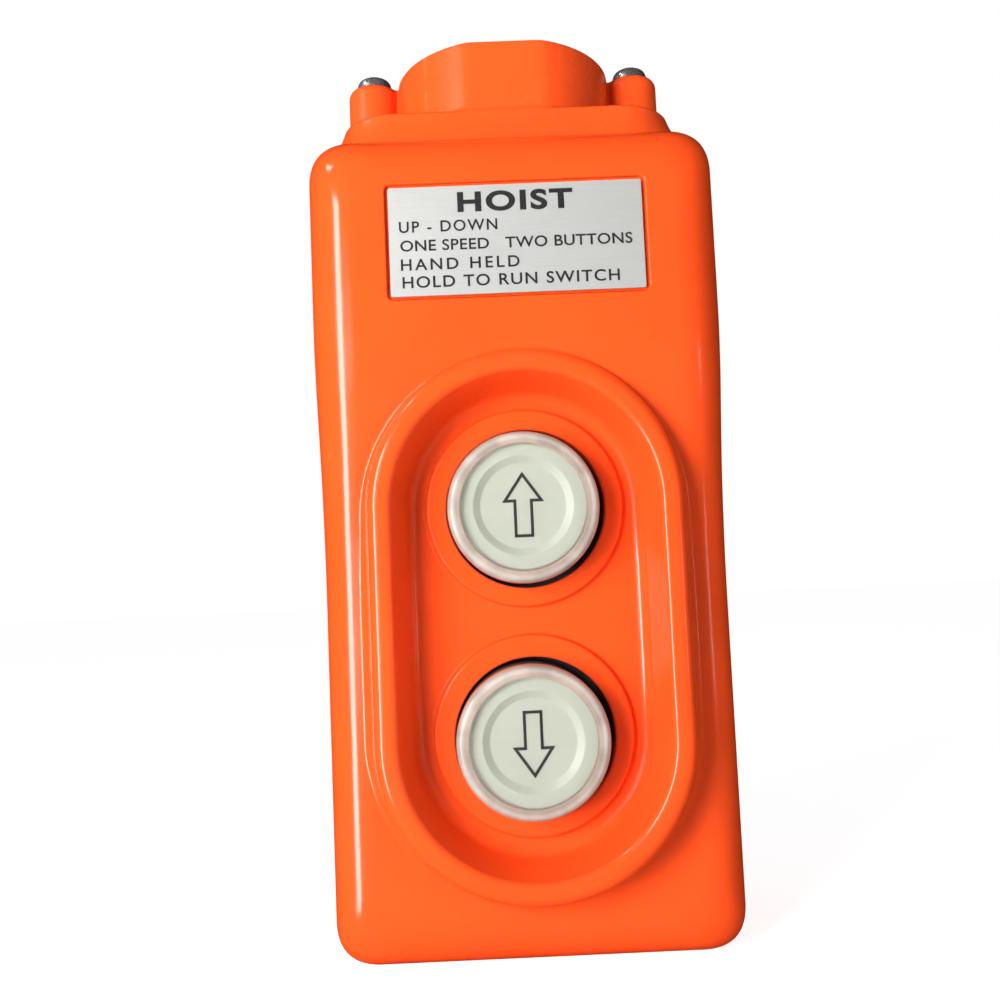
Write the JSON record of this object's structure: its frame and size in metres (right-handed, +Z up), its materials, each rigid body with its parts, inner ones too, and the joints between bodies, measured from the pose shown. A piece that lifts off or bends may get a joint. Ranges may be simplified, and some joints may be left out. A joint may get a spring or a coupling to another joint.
{
  "type": "two-button hoist pendant control station",
  "caption": "Hand-held hoist pendant: stepped orange case, oblong guard collar round spring-return up and down push buttons, label plate and screwed-on cable cap.",
  "frame": {"origin": "on the flat bottom face, directly below the cable cap's axis", "axes": "+Z up towards the cable, -Y out of the button side, +X to the right seen from the button side"},
  "size_m": [0.065, 0.0514, 0.1514],
  "materials": {
    "case_orange": "glossy moulded orange ABS",
    "cap_orange": "satin to glossy moulded orange ABS",
    "black_rubber": "matt black rubber",
    "plated_steel": "bright zinc or nickel plate",
    "brass": "plain brass",
    "label_plate": "satin silver plate",
    "clear_lens": "clear polished plastic, slightly warm",
    "legend_white": "satin off-white plastic",
    "black_plastic": "matt black nylon",
    "moulded_block": "dark brown thermoset moulding",
    "spring_steel": "drawn spring wire",
    "contact_copper": "copper alloy contact bar"
  },
  "bodies": {
    "station": {"block_screw_1": "plated_steel", "block_screw_2": "plated_steel", "cable_cap": "cap_orange", "cable_grommet": "black_rubber", "cap_gasket": "black_rubber", "cap_insert_left": "brass", "cap_insert_right": "brass", "cap_screw_left": "plated_steel", "cap_screw_right": "plated_steel", "contact_block": "moulded_block", "down_button_guide": "black_plastic", "down_button_seal": "black_rubber", "down_contact_left": "brass", "down_contact_right": "brass", "down_guide_screw_left": "plated_steel", "down_guide_screw_right": "plated_steel", "down_return_spring": "spring_steel", "down_terminal_screw_left": "plated_steel", "down_terminal_screw_right": "plated_steel", "front_cover": "case_orange", "housing_gasket": "black_rubber", "housing_insert_1": "brass", "housing_insert_2": "brass", "housing_insert_3": "brass", "housing_insert_4": "brass", "housing_screw_1": "plated_steel", "housing_screw_2": "plated_steel", "housing_screw_3": "plated_steel", "housing_screw_4": "plated_steel", "rating_label": "label_plate", "rear_housing": "case_orange", "up_button_guide": "black_plastic", "up_button_seal": "black_rubber", "up_contact_left": "brass", "up_contact_right": "brass", "up_guide_screw_left": "plated_steel", "up_guide_screw_right": "plated_steel", "up_return_spring": "spring_steel", "up_terminal_screw_left": "plated_steel", "up_terminal_screw_right": "plated_steel"},
    "up_button": {"up_button_lens": "clear_lens", "up_legend_insert": "legend_white", "up_plunger": "black_plastic", "up_contact_bridge": "contact_copper"},
    "down_button": {"down_button_lens": "clear_lens", "down_legend_insert": "legend_white", "down_plunger": "black_plastic", "down_contact_bridge": "contact_copper"}
  },
  "joints": [
    {"name": "up_button_press", "type": "slide", "parent": "station", "child": "up_button", "axis": [0, 1, 0], "range_m": [0, 0.004], "stiffness_N_per_m": 600, "springref_m": -0.002, "deforming": ["up_return_spring"]},
    {"name": "down_button_press", "type": "slide", "parent": "station", "child": "down_button", "axis": [0, 1, 0], "range_m": [0, 0.004], "stiffness_N_per_m": 600, "springref_m": -0.002, "deforming": ["down_return_spring"]}
  ]
}
